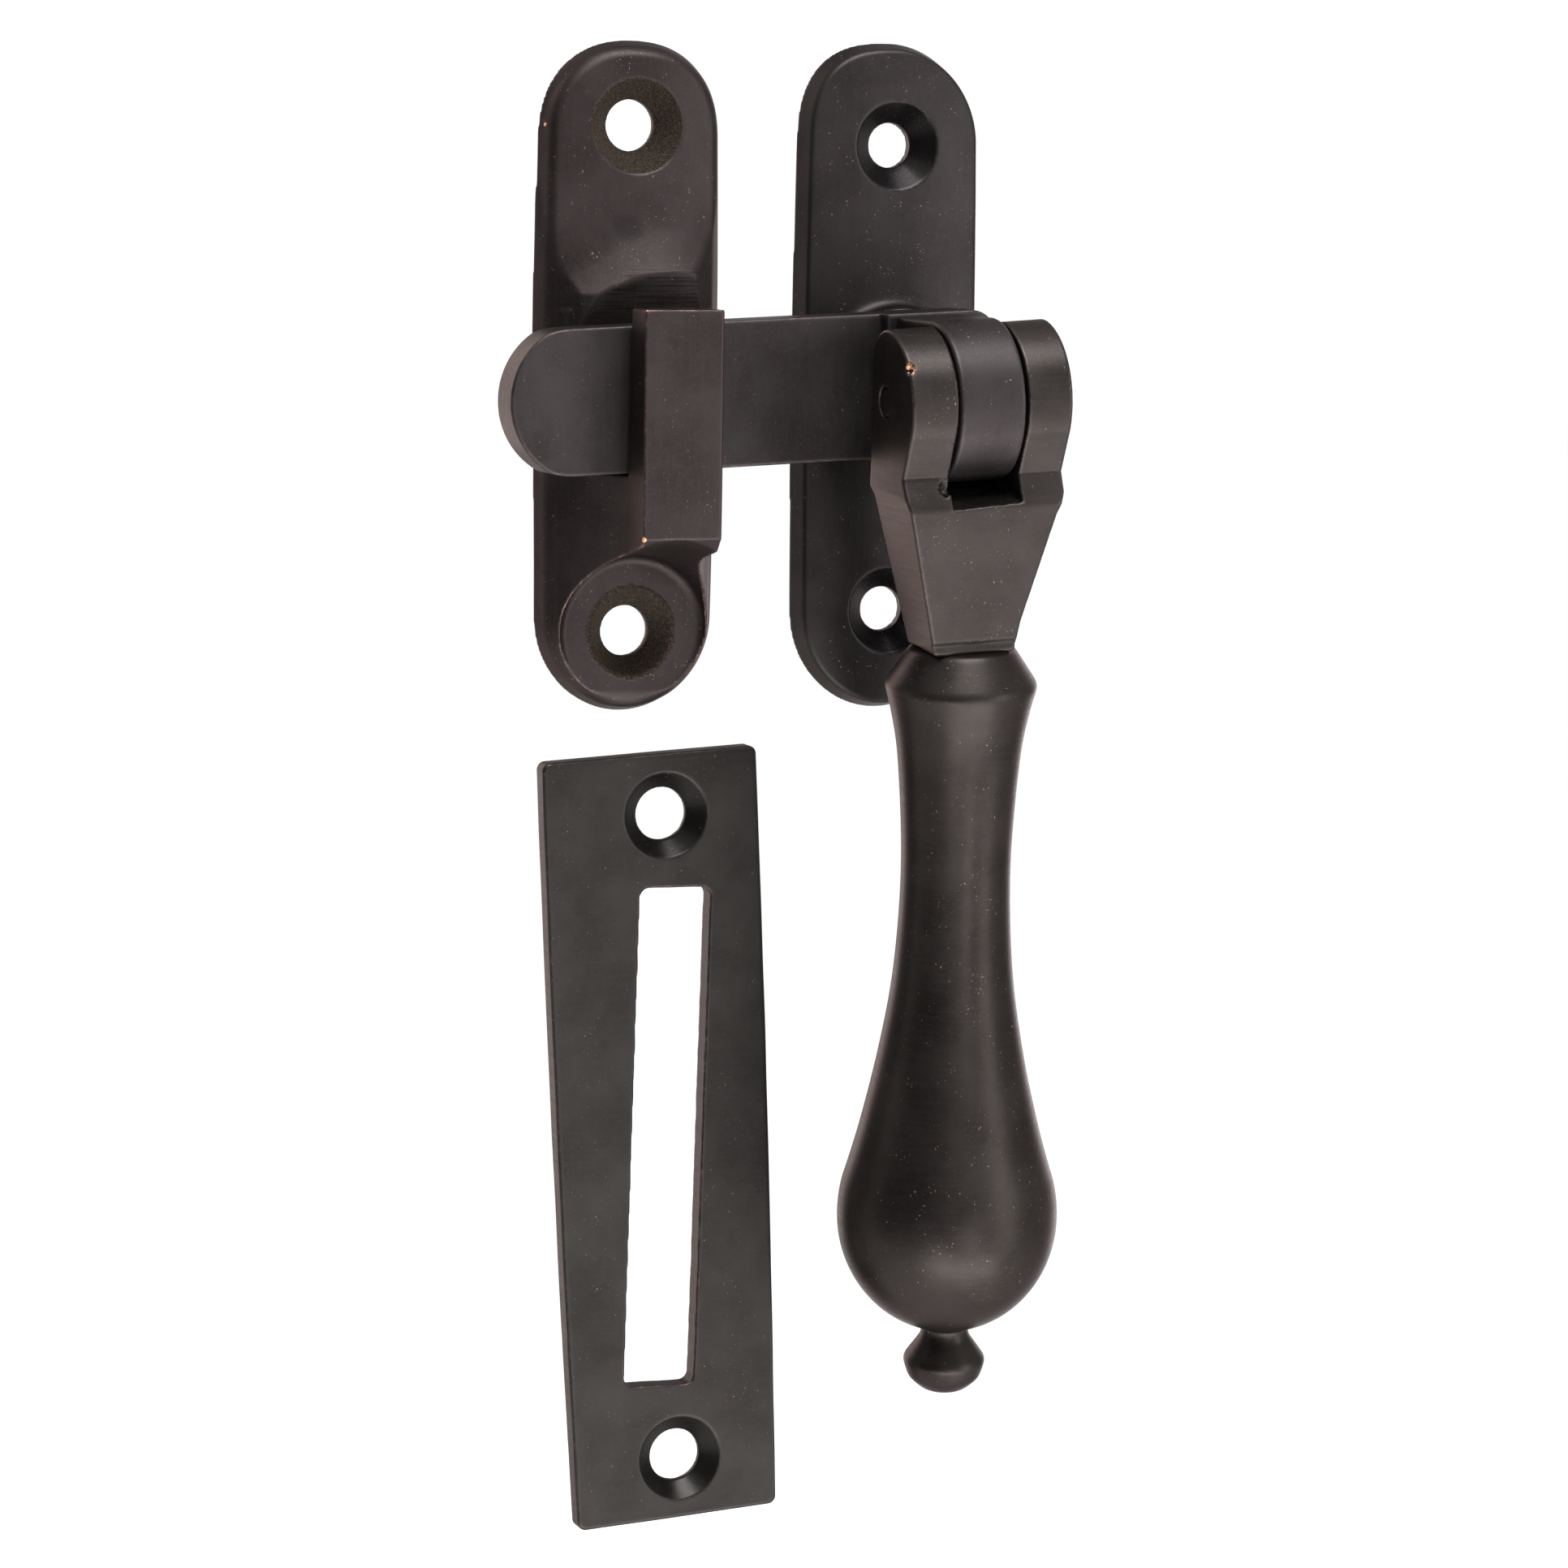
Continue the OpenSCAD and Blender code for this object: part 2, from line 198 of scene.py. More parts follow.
def crossings(f, where):
    """The mean place, in each marked cell, of the points where its edges cross the surface."""
    values = np.stack([f[tuple((where + c).T)] for c in CORNERS], 1)
    total = np.zeros((len(where), 3))
    count = np.zeros((len(where), 1))
    for a, b in CELL_EDGES:
        crossed = (values[:, a] < 0) != (values[:, b] < 0)
        gap = np.where(crossed, values[:, a] - values[:, b], 1.0)
        t = (values[:, a] / gap)[:, None]
        total += np.where(crossed[:, None], CORNERS[a] + t * (CORNERS[b] - CORNERS[a]), 0.0)
        count += crossed[:, None]
    return total / count


def net_quads(solid, index):
    """A quad, facing outward, for each pair of neighbouring grid points of which one is solid."""
    shape = solid.shape
    quads = []
    for axis in range(3):
        side, up = (axis + 1) % 3, (axis + 2) % 3
        here = np.take(solid, range(shape[axis] - 1), axis)
        there = np.take(solid, range(1, shape[axis]), axis)
        spots = np.argwhere(here != there)
        keep = np.ones(len(spots), bool)
        for other in (side, up):
            keep &= (spots[:, other] > 0) & (spots[:, other] < shape[other] - 1)
        spots = spots[keep]
        outward = here[tuple(spots.T)]
        ring = []
        for ds, du in ((-1, -1), (0, -1), (0, 0), (-1, 0)):
            cell = spots.copy()
            cell[:, side] += ds
            cell[:, up] += du
            ring.append(index[tuple(cell.T)])
        ring = np.stack(ring, 1)
        quads.append(np.where(outward[:, None], ring, ring[:, ::-1]))
    return np.concatenate(quads)


def surface_net(field, low, high, step):
    """Points and outward quads on the surface where a distance field is zero."""
    axes = [np.arange(a - 1.5 * step, b + 2.5 * step, step) for a, b in zip(low, high)]
    x, y, z = np.meshgrid(*axes, indexing="ij", sparse=True)
    shape = tuple(len(a) for a in axes)
    f = np.ascontiguousarray(np.broadcast_to(field(x, y, z), shape), dtype=np.float32)
    solid = f < 0
    cells = tuple(n - 1 for n in shape)
    filled = np.zeros(cells, np.int8)
    for i, j, k in CORNERS:
        filled += solid[i:i + cells[0], j:j + cells[1], k:k + cells[2]]
    active = (filled > 0) & (filled < 8)
    where = np.argwhere(active)
    index = np.full(cells, -1, np.int64)
    index[active] = np.arange(len(where))
    origin = np.array([a[0] for a in axes])
    points = origin + (where + crossings(f, where)) * step
    return points, net_quads(solid, index)


def relax(points, quads):
    """Moves each point halfway to the middle of its neighbours."""
    total = np.zeros_like(points)
    count = np.zeros(len(points))
    for k in range(4):
        a, b = quads[:, k], quads[:, (k + 1) % 4]
        for i, j in ((a, b), (b, a)):
            for axis in range(3):
                total[:, axis] += np.bincount(i, points[j, axis], len(points))
            count += np.bincount(i, minlength=len(points))
    return (points + total / np.maximum(count, 1)[:, None]) / 2


def settle(field, points, step):
    """Moves points onto the surface of a distance field."""
    reach = 0.01
    for _ in range(4):
        x, y, z = points.T
        f = field(x, y, z)
        slope = np.stack([field(x + reach, y, z) - field(x - reach, y, z),
                          field(x, y + reach, z) - field(x, y - reach, z),
                          field(x, y, z + reach) - field(x, y, z - reach)], 1) / (2 * reach)
        move = f[:, None] * slope / np.maximum((slope * slope).sum(1, keepdims=True), 0.1)
        size = np.linalg.norm(move, axis=1, keepdims=True)
        points = points - move * np.minimum(1, 0.5 * step / np.maximum(size, 1e-9))
    return points


def mark_edges(mesh):
    """Stores how sharply the surface bends: above zero on edges, below zero in hollows."""
    n, m = len(mesh.vertices), len(mesh.edges)
    co, normal = np.zeros(n * 3), np.zeros(n * 3)
    mesh.vertices.foreach_get("co", co)
    mesh.vertices.foreach_get("normal", normal)
    ends = np.zeros(m * 2, np.int64)
    mesh.edges.foreach_get("vertices", ends)
    co, normal, ends = co.reshape(-1, 3) / MM, normal.reshape(-1, 3), ends.reshape(-1, 2)
    a, b = ends.T
    along = co[b] - co[a]
    square = np.maximum((along * along).sum(1), 1e-6)
    bend = (np.bincount(a, -(along * normal[a]).sum(1) * 2 / square, n)
            + np.bincount(b, (along * normal[b]).sum(1) * 2 / square, n))
    degree = np.maximum(np.bincount(a, minlength=n) + np.bincount(b, minlength=n), 1)
    bend = bend / degree
    for _ in range(2):
        around = np.bincount(a, bend[b], n) + np.bincount(b, bend[a], n)
        bend = (bend + around / degree) / 2
    mesh.attributes.new("edge", "FLOAT", "POINT").data.foreach_set("value", bend.astype(np.float32))


def add_piece(name, points, faces, place, body, nodes, material, masks=None):
    """Makes one piece from local points in millimetres, rides it on its body and gives it its finish."""
    turn = np.array(place.to_3x3())
    world = (points @ turn.T + np.array(place.translation)) * MM
    mesh = bpy.data.meshes.new(name)
    mesh.from_pydata(world.tolist(), [], faces.tolist() if hasattr(faces, "tolist") else faces)
    mesh.shade_smooth()
    mesh.update()
    mark_edges(mesh)
    for mask, values in (masks or {}).items():
        mesh.attributes.new(mask, "FLOAT", "POINT").data.foreach_set("value", values.astype(np.float32))
    mesh.materials.append(material)
    piece = bpy.data.objects.new(name, mesh)
    bpy.context.scene.collection.objects.link(piece)
    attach(piece, body)
    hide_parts(*nodes)


def cast(name, field, low, high, place, body, nodes, material, masks=None):
    """A piece whose surface is where a distance field is zero, with masks worked out from its points."""
    points, quads = surface_net(field, low, high, STEP)
    points = settle(field, relax(points, quads), STEP)
    x, y, z = points.T
    values = {mask: np.clip(rule(x, y, z), 0, 1) for mask, rule in (masks or {}).items()}
    add_piece(name, points, quads, place, body, nodes, material, values)


def turned(profile, sides):
    """Points and faces of a shape turned about Z from (radius, height) pairs.

    The line ends on the axis at both ends, or it is closed on itself."""
    points, faces, rings = [], [], []
    for r, h in profile:
        if r < 1e-6:
            rings.append([len(points)])
            points.append((0, 0, h))
            continue
        rings.append(list(range(len(points), len(points) + sides)))
        for k in range(sides):
            a = 2 * math.pi * k / sides
            points.append((r * math.cos(a), r * math.sin(a), h))
    pairs = list(zip(rings, rings[1:]))
    if len(rings[0]) > 1 and len(rings[-1]) > 1:
        pairs.append((rings[-1], rings[0]))
    for upper, lower in pairs:
        for k in range(sides):
            n = (k + 1) % sides
            if len(upper) == 1:
                faces.append((upper[0], lower[k], lower[n]))
            elif len(lower) == 1:
                faces.append((upper[k], lower[0], upper[n]))
            else:
                faces.append((upper[k], lower[k], lower[n], upper[n]))
    return np.array(points, float), faces


# ---------------------------------------------------------------- materials


class Nodes:
    """A small helper that adds and links shader nodes."""

    def __init__(self, name):
        self.material = bpy.data.materials.new(name)
        self.material.use_nodes = True
        self.tree = self.material.node_tree
        self.shader = self.tree.nodes["Principled BSDF"]
        self.place = self.tree.nodes.new("ShaderNodeTexCoord").outputs["Object"]

    def link(self, value, socket):
        """Links a socket to another, or sets its value."""
        if isinstance(value, bpy.types.NodeSocket):
            self.tree.links.new(value, socket)
        else:
            socket.default_value = value

    def math(self, kind, a, b):
        """One arithmetic step on two values."""
        node = self.tree.nodes.new("ShaderNodeMath")
        node.operation = kind
        self.link(a, node.inputs[0])
        self.link(b, node.inputs[1])
        return node.outputs[0]

    def noise(self, size_mm, detail, rough, stretch=(1, 1, 1), shift=0.0):
        """Noise with features about size_mm across, stretched along the axes."""
        move = self.tree.nodes.new("ShaderNodeMapping")
        move.inputs["Scale"].default_value = stretch
        move.inputs["Location"].default_value = (shift, shift * 0.7, shift * 1.3)
        self.tree.links.new(self.place, move.inputs["Vector"])
        node = self.tree.nodes.new("ShaderNodeTexNoise")
        node.inputs["Scale"].default_value = 1 / (size_mm * MM)
        node.inputs["Detail"].default_value = detail
        node.inputs["Roughness"].default_value = rough
        self.tree.links.new(move.outputs[0], node.inputs["Vector"])
        return node.outputs["Fac"]

    def ramp(self, value, low, high):
        """Maps low..high to 0..1, smoothly and clamped."""
        node = self.tree.nodes.new("ShaderNodeMapRange")
        node.interpolation_type = "SMOOTHSTEP"
        self.link(value, node.inputs["Value"])
        node.inputs["From Min"].default_value = low
        node.inputs["From Max"].default_value = high
        return node.outputs["Result"]

    def scaled(self, value, factor):
        """A value times a factor."""
        return self.math("MULTIPLY", value, factor)

    def mask(self, name):
        """A value that is stored on the mesh's points."""
        node = self.tree.nodes.new("ShaderNodeAttribute")
        node.attribute_name = name
        return node.outputs["Fac"]

    def mix(self, amount, a, b):
        """Mixes two colours."""
        node = self.tree.nodes.new("ShaderNodeMix")
        node.data_type = "RGBA"
        self.link(amount, node.inputs["Factor"])
        self.link((*a, 1) if isinstance(a, tuple) else a, node.inputs["A"])
        self.link((*b, 1) if isinstance(b, tuple) else b, node.inputs["B"])
        return node.outputs["Result"]

    def bump(self, height, distance_mm, strength, under=None):
        """Relief from a height, on top of another relief."""
        node = self.tree.nodes.new("ShaderNodeBump")
        node.inputs["Strength"].default_value = strength
        node.inputs["Distance"].default_value = distance_mm * MM
        self.link(height, node.inputs["Height"])
        if under is not None:
            self.tree.links.new(under, node.inputs["Normal"])
        return node.outputs["Normal"]


# Stretch of the brushing: upright strokes, and level ones
UPRIGHT = (1, 1, 0.04)
LEVEL = (0.04, 0.04, 1)

# Colours of the patina's details, and the tint of its grazing reflections
DUST = (0.20, 0.16, 0.13)
WORN_COPPER = (0.30, 0.15, 0.085)
BARE_COPPER = (0.50, 0.25, 0.13)
SAND_DARK = (0.014, 0.011, 0.009)
SAND_LIGHT = (0.066, 0.050, 0.037)
STAIN_TONE = (0.011, 0.010, 0.010)
GLINT = (0.42, 0.39, 0.38, 1)


def shade(tone, factor):
    """A colour made lighter or darker."""
    return tuple(factor * c for c in tone)


def wear_and_painted_shade(n, tone, colour, wear):
    """Adds copper on the sharpest edges, a rub along all edges and painted shade in the hollows."""
    edge = n.mask("edge")
    broken = n.ramp(n.noise(0.9, 3.0, 0.65, shift=5.0), 0.45, 0.66)
    worn = n.math("MULTIPLY", n.ramp(edge, 0.9, 2.2), broken)
    colour = n.mix(n.scaled(worn, 0.35 * wear), colour, WORN_COPPER)
    colour = n.mix(n.scaled(n.ramp(edge, 0.15, 1.2), 0.4), colour, shade(tone, 1.8))
    # Painted shade: the colour darkens where the surface bends inward, in the hollows
    return n.mix(n.scaled(n.ramp(edge, -0.25, -1.6), 0.6), colour, shade(tone, 0.25))


def raw_casting(n, tone, colour, rough, relief):
    """Adds the grainy bare countersinks, a stain and the filed bevel, each where its mask is set."""
    bare = n.mask("raw")
    sand = n.noise(0.17, 4.0, 0.8, shift=2.0)
    colour = n.mix(bare, colour, n.mix(n.ramp(sand, 0.38, 0.72), SAND_DARK, SAND_LIGHT))
    rough = n.math("ADD", rough, n.scaled(bare, 0.22))
    relief = n.bump(n.math("MULTIPLY", sand, bare), 0.09, 1.0, relief)
    colour = n.mix(n.scaled(n.ramp(n.mask("smudge"), 0.2, 0.9), 0.45), colour, STAIN_TONE)
    ground = n.mask("ground")
    strokes = n.noise(0.22, 2.0, 0.6, stretch=LEVEL, shift=4.0)
    scored = n.math("MULTIPLY", n.ramp(strokes, 0.50, 0.62), ground)
    colour = n.mix(n.scaled(scored, 0.4), colour, shade(tone, 0.2))
    relief = n.bump(n.math("MULTIPLY", strokes, ground), 0.035, 1.0, relief)
    return colour, rough, relief


def patina(name, tone, brush=UPRIGHT, brush_depth=0.5, gloss=0.42, wear=1.0, raw=False, spun=False):
    """Oil-rubbed bronze: dark patina with brushing, mottling, dust and worn edges."""
    n = Nodes(name)
    n.shader.inputs["Metallic"].default_value = 0.8
    n.shader.inputs["Specular IOR Level"].default_value = 0.25
    n.shader.inputs["Specular Tint"].default_value = GLINT
    light = shade(tone, 1.24)
    warm = (tone[0] * 1.6, tone[1] * 1.2, tone[2])
    clouds = n.noise(8.0, 5.0, 0.62)
    grain = n.noise(0.30, 3.0, 0.7, shift=3.0)
    lines = n.noise(0.24, 2.0, 0.6, stretch=brush)
    dust = n.noise(0.20, 0.0, 0.5, shift=7.0)
    spots = n.noise(2.4, 2.0, 0.6, shift=11.0)
    colour = n.mix(n.ramp(clouds, 0.3, 0.7), shade(tone, 0.78), light)
    colour = n.mix(n.scaled(n.ramp(grain, 0.4, 0.75), 0.45), colour, warm)
    colour = n.mix(n.scaled(n.ramp(lines, 0.45, 0.7), 0.25), colour, light)
    specks = n.math("MULTIPLY", n.ramp(dust, 0.76, 0.84), n.ramp(spots, 0.45, 0.62))
    colour = n.mix(n.scaled(specks, 0.7), colour, DUST)
    colour = wear_and_painted_shade(n, tone, colour, wear)
    rough = n.math("ADD", gloss, n.scaled(n.math("SUBTRACT", lines, 0.5), 0.16))
    rough = n.math("ADD", rough, n.scaled(n.math("SUBTRACT", clouds, 0.5), 0.14))
    rough = n.math("ADD", rough, n.scaled(specks, 0.3))
    relief = n.bump(lines, 0.012, brush_depth)
    relief = n.bump(grain, 0.014, 0.55, relief)
    relief = n.bump(clouds, 0.35, 0.12, relief)
    if raw:
        colour, rough, relief = raw_casting(n, tone, colour, rough, relief)
    if spun:
        turned_cut = n.mask("spun")
        rough = n.math("SUBTRACT", rough, n.scaled(turned_cut, 0.14))
        colour = n.mix(n.scaled(turned_cut, 0.5), colour, shade(tone, 0.5))
    chip = n.math("ADD", n.mask("chip"), n.math("SUBTRACT", n.noise(0.35, 3.0, 0.7, shift=9.0), 0.5))
    colour = n.mix(n.ramp(chip, 0.45, 0.62), colour, BARE_COPPER)
    n.link(colour, n.shader.inputs["Base Color"])
    n.link(n.math("MINIMUM", rough, 0.95), n.shader.inputs["Roughness"])
    n.link(relief, n.shader.inputs["Normal"])
    return n.material


PLATE_METAL = patina("plate_bronze", (0.0185, 0.0164, 0.0168), gloss=0.42, spun=True)
BAR_METAL = patina("bar_bronze", (0.0238, 0.0211, 0.0215), gloss=0.45, wear=0.6)
HANDLE_METAL = patina("handle_bronze", (0.0216, 0.0190, 0.0182), LEVEL, gloss=0.39, wear=0.6)
GRIP_METAL = patina("grip_bronze", (0.0192, 0.0168, 0.0160), LEVEL, brush_depth=0.3, gloss=0.37, wear=0.4)
KEEPER_METAL = patina("keeper_bronze", (0.0236, 0.0193, 0.0194), gloss=0.46, wear=1.3, raw=True)
STRIKE_METAL = patina("strike_bronze", (0.0180, 0.0170, 0.0163), LEVEL, gloss=0.44, spun=True)
PIN_METAL = patina("pin_bronze", (0.0205, 0.0180, 0.0172), LEVEL, gloss=0.39, wear=0.0)
WASHER_METAL = patina("washer_bronze", (0.045, 0.033, 0.024), LEVEL, gloss=0.38, wear=1.5)


# ---------------------------------------------------------------- plates


def near(x, y, z, spot, r):
    """1 or more close to a spot (right, away from the wall, up), falling to 0 at distance r."""
    gap = np.sqrt((x - spot[0]) ** 2 + (-y - spot[1]) ** 2 + (z - spot[2]) ** 2)
    return 1.6 - 1.6 * gap / r


def plan(x, z, shape):
    """Distance to the outline of a round-ended plate, a little narrower towards its ends.

    A plate's shape is its half length, its end radius, how full its two upper corners are (2 is a
    true arc), and the rounding of its rim."""
    half_l, r, full_left, full_right = shape[:4]
    x = x * (1 + BARREL * (z / half_l) ** 2)
    over = np.maximum(np.abs(z) - (half_l - r), 0)
    power = np.where(z > 0, np.where(x < 0, full_left, full_right), 2.0)
    return (np.abs(x) ** power + over ** power) ** (1 / power) - r


def flat_side(x, t, z, shape):
    """Distance to the drafted side of a round-ended plate."""
    slope = DRAFT / EDGE
    return (plan(x, z, shape) + slope * t) / math.sqrt(1 + slope * slope)


def crowned_plate(x, t, z, shape):
    """Round-ended plate with drafted sides and a pillowed face."""
    rise = 1 - np.clip(1 + plan(x, z, shape) / PILLOW, 0, 1) ** 2
    face = t - EDGE - CROWN * rise
    return common(common(flat_side(x, t, z, shape), face, shape[4]), -t, WALL_EDGE)


# How deep a countersink is in the thick plates, and how far from the plate's back its mask starts
PLATE_SINK = 2.2
SINK_BACK = 0.6


def screw_hole(x, t, z, hole_r, sink_r, sink, face):
    """A screw hole with its countersink."""
    rho = span(x, z)
    slope = (sink_r - hole_r) / sink
    cone = (rho - hole_r - (t - face + sink) * slope) / math.sqrt(1 + slope * slope)
    return np.minimum(rho - hole_r, np.maximum(cone, rho - sink_r - 0.05))


def in_sink(x, t, z, sink_r):
    """1 inside a countersink, 0 outside it."""
    return np.where((span(x, z) < sink_r + 0.02) & (t > SINK_BACK), 1.0, 0.0)


# Sash plate, with its boss, the journal's bore and the recess for the riveted tail
SASH_HALF = (SASH_HIGH[2] - SASH_LOW[2]) / 2
SASH_R = (SASH_HIGH[0] - SASH_LOW[0]) / 2
SASH_SHAPE = (SASH_HALF, SASH_R, 2.6, 2.0, 0.32)
SASH_SINK_R = 4.4
BOSS_R = 7.2
JOURNAL_R = 2.5
RECESS_R = 4.8
RECESS_DEPTH = 1.7


def sash_field(x, y, z):
    """The sash plate."""
    t = -y
    plate = crowned_plate(x, t, z, SASH_SHAPE)
    boss = common(span(x, z) - BOSS_R, t - BOSS_DEPTH, 0.5)
    plate = join(plate, boss, 1.2) + 0.012 * ripple(x, y, z, 9.0, 1.0)
    for side in (-1, 1):
        hole = screw_hole(x, t, z - side * SASH_HOLE_Z, SASH_HOLE_R, SASH_SINK_R, PLATE_SINK, EDGE + CROWN)
        plate = carve(plate, hole, RIM)
    plate = carve(plate, span(x, z) - JOURNAL_R - 0.05, RIM)
    return carve(plate, np.maximum(span(x, z) - RECESS_R, t - RECESS_DEPTH), RIM)


def sash_sinks(x, y, z):
    """1 in the sash plate's countersinks."""
    return sum(in_sink(x, -y, z - s * SASH_HOLE_Z, SASH_SINK_R) for s in (-1, 1))


cast("sash_plate_body", sash_field, SASH_LOW, SASH_HIGH, WORLD, "fixed_plates", ["sash_plate"],
     PLATE_METAL, {"spun": sash_sinks})

# Keeper, with x from the middle of its plate
KEEPER_HALF = (KEEPER_HIGH[2] - KEEPER_LOW[2]) / 2
KEEPER_R = (KEEPER_HIGH[0] - KEEPER_LOW[0]) / 2
KEEPER_SHAPE = (KEEPER_HALF, KEEPER_R, 2.2, 2.45, 0.7)
KEEPER_SINK_R = 4.6

# The hook: its front block, the slot behind it (front wall at the floor and at the top), and the body
# that carries it, which flares down to the plate
HOOK_REACH = -KEEPER_LOW[1]
HOOK_TOP = 7.4
HOOK_BOTTOM = -14.4
HOOK_HALF = 4.0
HOOK_SHIFT = 0.5
HOOK_GAP = (11.4, 12.0)
SLOT_BACK = 4.4
SLOT_FLOOR = -8.6
LEDGE = 6.8
WING_LOW = -31.0
WING_INSET = 0.7
WING_CURVE = 1.7
HOOK_PROFILE = [(-1, WING_LOW), (-1, LEDGE), (SLOT_BACK, LEDGE), (SLOT_BACK, SLOT_FLOOR),
                (HOOK_GAP[0], SLOT_FLOOR), (HOOK_GAP[1], HOOK_TOP), (HOOK_REACH, HOOK_TOP),
                (HOOK_REACH, HOOK_BOTTOM), (EDGE, WING_LOW)]

# The ramp above the slot. CREST is the depth and height where its face meets the bevel, and APEX is
# the bevel's left corner. A face is given by its slopes and the length of its normal. The bevel's
# filed lines end at BEVEL_RIGHT, and a stain lies on the face.
RAMP_TOP = 21.0
RAMP_FOOT = 2.9
RAMP_END = 4.5
RAMP_CURVE = 1.5
RAMP_NORMAL = 1.1
CREST = (6.0, 10.5)
BEVEL_FOOT = 5.2
DOME = 0.024
DOME_X = 3
APEX = (-6.35, 4.9, 5.4)
LEFT_SLOPE = 1.3
LEFT_NORMAL = 1.64
RIGHT_FOOT = (6.25, 5.2, 6.4)
RIGHT_SLOPES = (1.2, 0.04)
RIGHT_NORMAL = 1.56
BEVEL_RIGHT = 6.2
STAIN_SPOT = (-1.2, 14.8)

# The scoop that clears the lower screw
SCOOP_R = 7.45
SCOOP_FACE = 2.9
SCOOP_FLARE = 2.9


def keeper_hook(x, t, z):
    """The hook and what carries it, flaring from the hook down to the plate."""
    profile = outline(t, z, HOOK_PROFILE)
    rise = HOOK_GAP[0] - EDGE
    up = np.clip((t - EDGE) / rise, 0, 1)
    spread = KEEPER_R - WING_INSET - HOOK_HALF
    left = -(x - HOOK_SHIFT) - HOOK_HALF - (spread + HOOK_SHIFT) * (1 - up) ** WING_CURVE
    right = (x - HOOK_SHIFT) - HOOK_HALF - (spread - HOOK_SHIFT) * (1 - up) ** WING_CURVE
    steep = np.sqrt(1 + (spread * WING_CURVE / rise * (1 - up) ** (WING_CURVE - 1)) ** 2)
    body = common(profile, np.maximum(left, right) / steep, FINE)
    return common(body, flat_side(x, t, z, KEEPER_SHAPE) + 0.3, 0.3)


def keeper_ramp(x, t, z):
    """The ramp: a domed rising face between a gentle left side, a steep right side and a bevel."""
    down = np.clip((RAMP_TOP - z) / (RAMP_TOP - CREST[1]), 0, 1.2)
    height = RAMP_FOOT + (CREST[0] - RAMP_FOOT) * down ** RAMP_CURVE
    face = (t - height + DOME * (x - DOME_X) ** 2) / RAMP_NORMAL
    left = (t - APEX[1] - LEFT_SLOPE * (x - APEX[0])) / LEFT_NORMAL
    tilt = RIGHT_SLOPES[1] * (z - RIGHT_FOOT[2])
    right = (x - RIGHT_FOOT[0] + tilt + RIGHT_SLOPES[0] * (t - RIGHT_FOOT[1])) / RIGHT_NORMAL
    bevel = t - BEVEL_FOOT - (z - LEDGE) * (CREST[0] - BEVEL_FOOT) / (CREST[1] - LEDGE)
    ramp = common(common(face, left, 0.2), right, 0.3)
    ramp = common(common(ramp, bevel, 0.12), flat_side(x, t, z, KEEPER_SHAPE) + 0.4, 0.3)
    return common(ramp, RAMP_END - z, 0.15)


def keeper_scoop(x, t, z):
    """The flared round space above the lower screw."""
    flare = np.clip((t - SCOOP_FACE) / (HOOK_REACH + 1 - SCOOP_FACE), 0, 1.2)
    wall = (span(x, z + KEEPER_HOLE_Z) - SCOOP_R - SCOOP_FLARE * flare ** 1.1) / 1.03
    return common(wall, SCOOP_FACE - t, 0.8)


def keeper_field(x, y, z):
    """The keeper."""
    x = x - KEEPER_X
    t = -y
    plate = crowned_plate(x, t, z, KEEPER_SHAPE)
    whole = join(join(plate, keeper_ramp(x, t, z), 1.2), keeper_hook(x, t, z), 0.5)
    whole = common(whole + 0.015 * ripple(x, y, z, 8.0, 2.0), -t, WALL_EDGE)
    whole = carve(whole, keeper_scoop(x, t, z), 0.15)
    for side in (-1, 1):
        hole = screw_hole(x, t, z - side * KEEPER_HOLE_Z, KEEPER_HOLE_R, KEEPER_SINK_R, PLATE_SINK,
                          EDGE + CROWN)
        whole = carve(whole, hole, RIM)
    return whole


def on_bevel(x, y, z):
    """1 on the filed bevel above the slot."""
    x, t = x - KEEPER_X, -y
    sides = np.clip(1.2 * (x - APEX[0]) - (z - APEX[2]) + 0.2, 0, 1) * np.clip(BEVEL_RIGHT - x, 0, 1)
    below = np.clip((CREST[1] + 0.9 - z) / 0.8, 0, 1)
    return sides * below * (z > RAMP_END) * (t > SLOT_BACK - 0.6) * (t < 8)


def hook_chips(x, y, z):
    """1 at two worn corners and along the left edge of the hook's front, and at a spot on the rim."""
    x = x - KEEPER_X - HOOK_SHIFT
    corners = np.maximum(near(x, y, z, (-HOOK_HALF, HOOK_REACH, HOOK_TOP), 0.32),
                         near(x, y, z, (-HOOK_HALF, HOOK_REACH, HOOK_BOTTOM), 0.5))
    along = 0.42 - 1.5 * np.abs(x + HOOK_HALF) - 1.5 * np.abs(-y - HOOK_REACH)
    rim = near(x, y, z, (-KEEPER_R, 1.2, KEEPER_HOLE_Z), 0.38)
    return np.maximum(np.maximum(corners, rim), along)


def stain(x, y, z):
    """1 in the middle of a slanted oval stain below the upper screw."""
    right, up = x - KEEPER_X - STAIN_SPOT[0], z - STAIN_SPOT[1]
    return 1.3 - span(right * 0.5 + up * 0.35, up * 0.5 - right * 0.25)


def keeper_sinks(x, y, z):
    """1 in the keeper's countersinks."""
    return sum(in_sink(x - KEEPER_X, -y, z - s * KEEPER_HOLE_Z, KEEPER_SINK_R) for s in (-1, 1))


cast("keeper_body", keeper_field, KEEPER_LOW, KEEPER_HIGH, WORLD, "fixed_plates", ["keeper"],
     KEEPER_METAL,
     {"ground": on_bevel, "chip": hook_chips, "smudge": stain, "raw": keeper_sinks})

